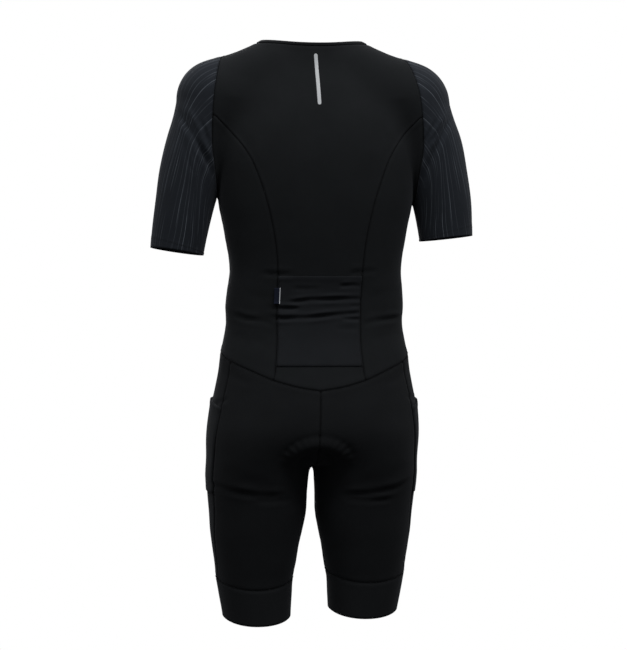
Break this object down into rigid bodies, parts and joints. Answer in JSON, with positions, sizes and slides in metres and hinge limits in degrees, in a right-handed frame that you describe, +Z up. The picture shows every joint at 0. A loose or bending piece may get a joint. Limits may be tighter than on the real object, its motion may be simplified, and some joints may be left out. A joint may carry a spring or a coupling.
{
  "type": "triathlon suit",
  "caption": "Short-sleeved one-piece triathlon suit with mid-thigh legs, a back pocket, side pockets and a front zip, hollow as worn.",
  "frame": {"origin": "middle of the shoulder line, between the shoulders, where the suit hangs on its wearer", "axes": "+Z up along the standing wearer, the back of the suit faces +Y and the wearer's left is +X"},
  "size_m": [0.5147, 0.2339, 0.9267],
  "materials": {
    "body_knit": "matte black warp knit with a faint sheen",
    "sleeve_knit": "matte slate knit with fine pale lines",
    "gripper_knit": "matte elastic band",
    "pad_foam": "matte foam faced with knit",
    "woven_tab": "woven tape",
    "zip_tape": "woven tape with moulded teeth",
    "zip_metal": "dark nickel"
  },
  "bodies": {
    "suit": {"back_centre": "body_knit", "back_side_left": "body_knit", "back_side_right": "body_knit", "front_left": "body_knit", "front_right": "body_knit", "sleeve_left": "sleeve_knit", "sleeve_right": "sleeve_knit", "neck_binding": "body_knit", "back_pocket": "body_knit", "pocket_label": "woven_tab", "seat_left": "body_knit", "seat_right": "body_knit", "side_panel_left": "body_knit", "side_panel_right": "body_knit", "side_pocket_left": "body_knit", "side_pocket_right": "body_knit", "front_leg_left": "body_knit", "front_leg_right": "body_knit", "leg_gripper_left": "gripper_knit", "leg_gripper_right": "gripper_knit", "seat_pad": "pad_foam", "zip": "zip_tape", "zip_slider": "zip_metal"},
    "zip_pull": {"zip_pull": "zip_metal"}
  },
  "joints": [
    {"name": "zip_pull_swing", "type": "hinge", "parent": "suit", "child": "zip_pull", "pos_m": [-0.00375, -0.07594, -0.06455], "axis": [-1, 0, 0], "range_deg": [0, 150]}
  ]
}
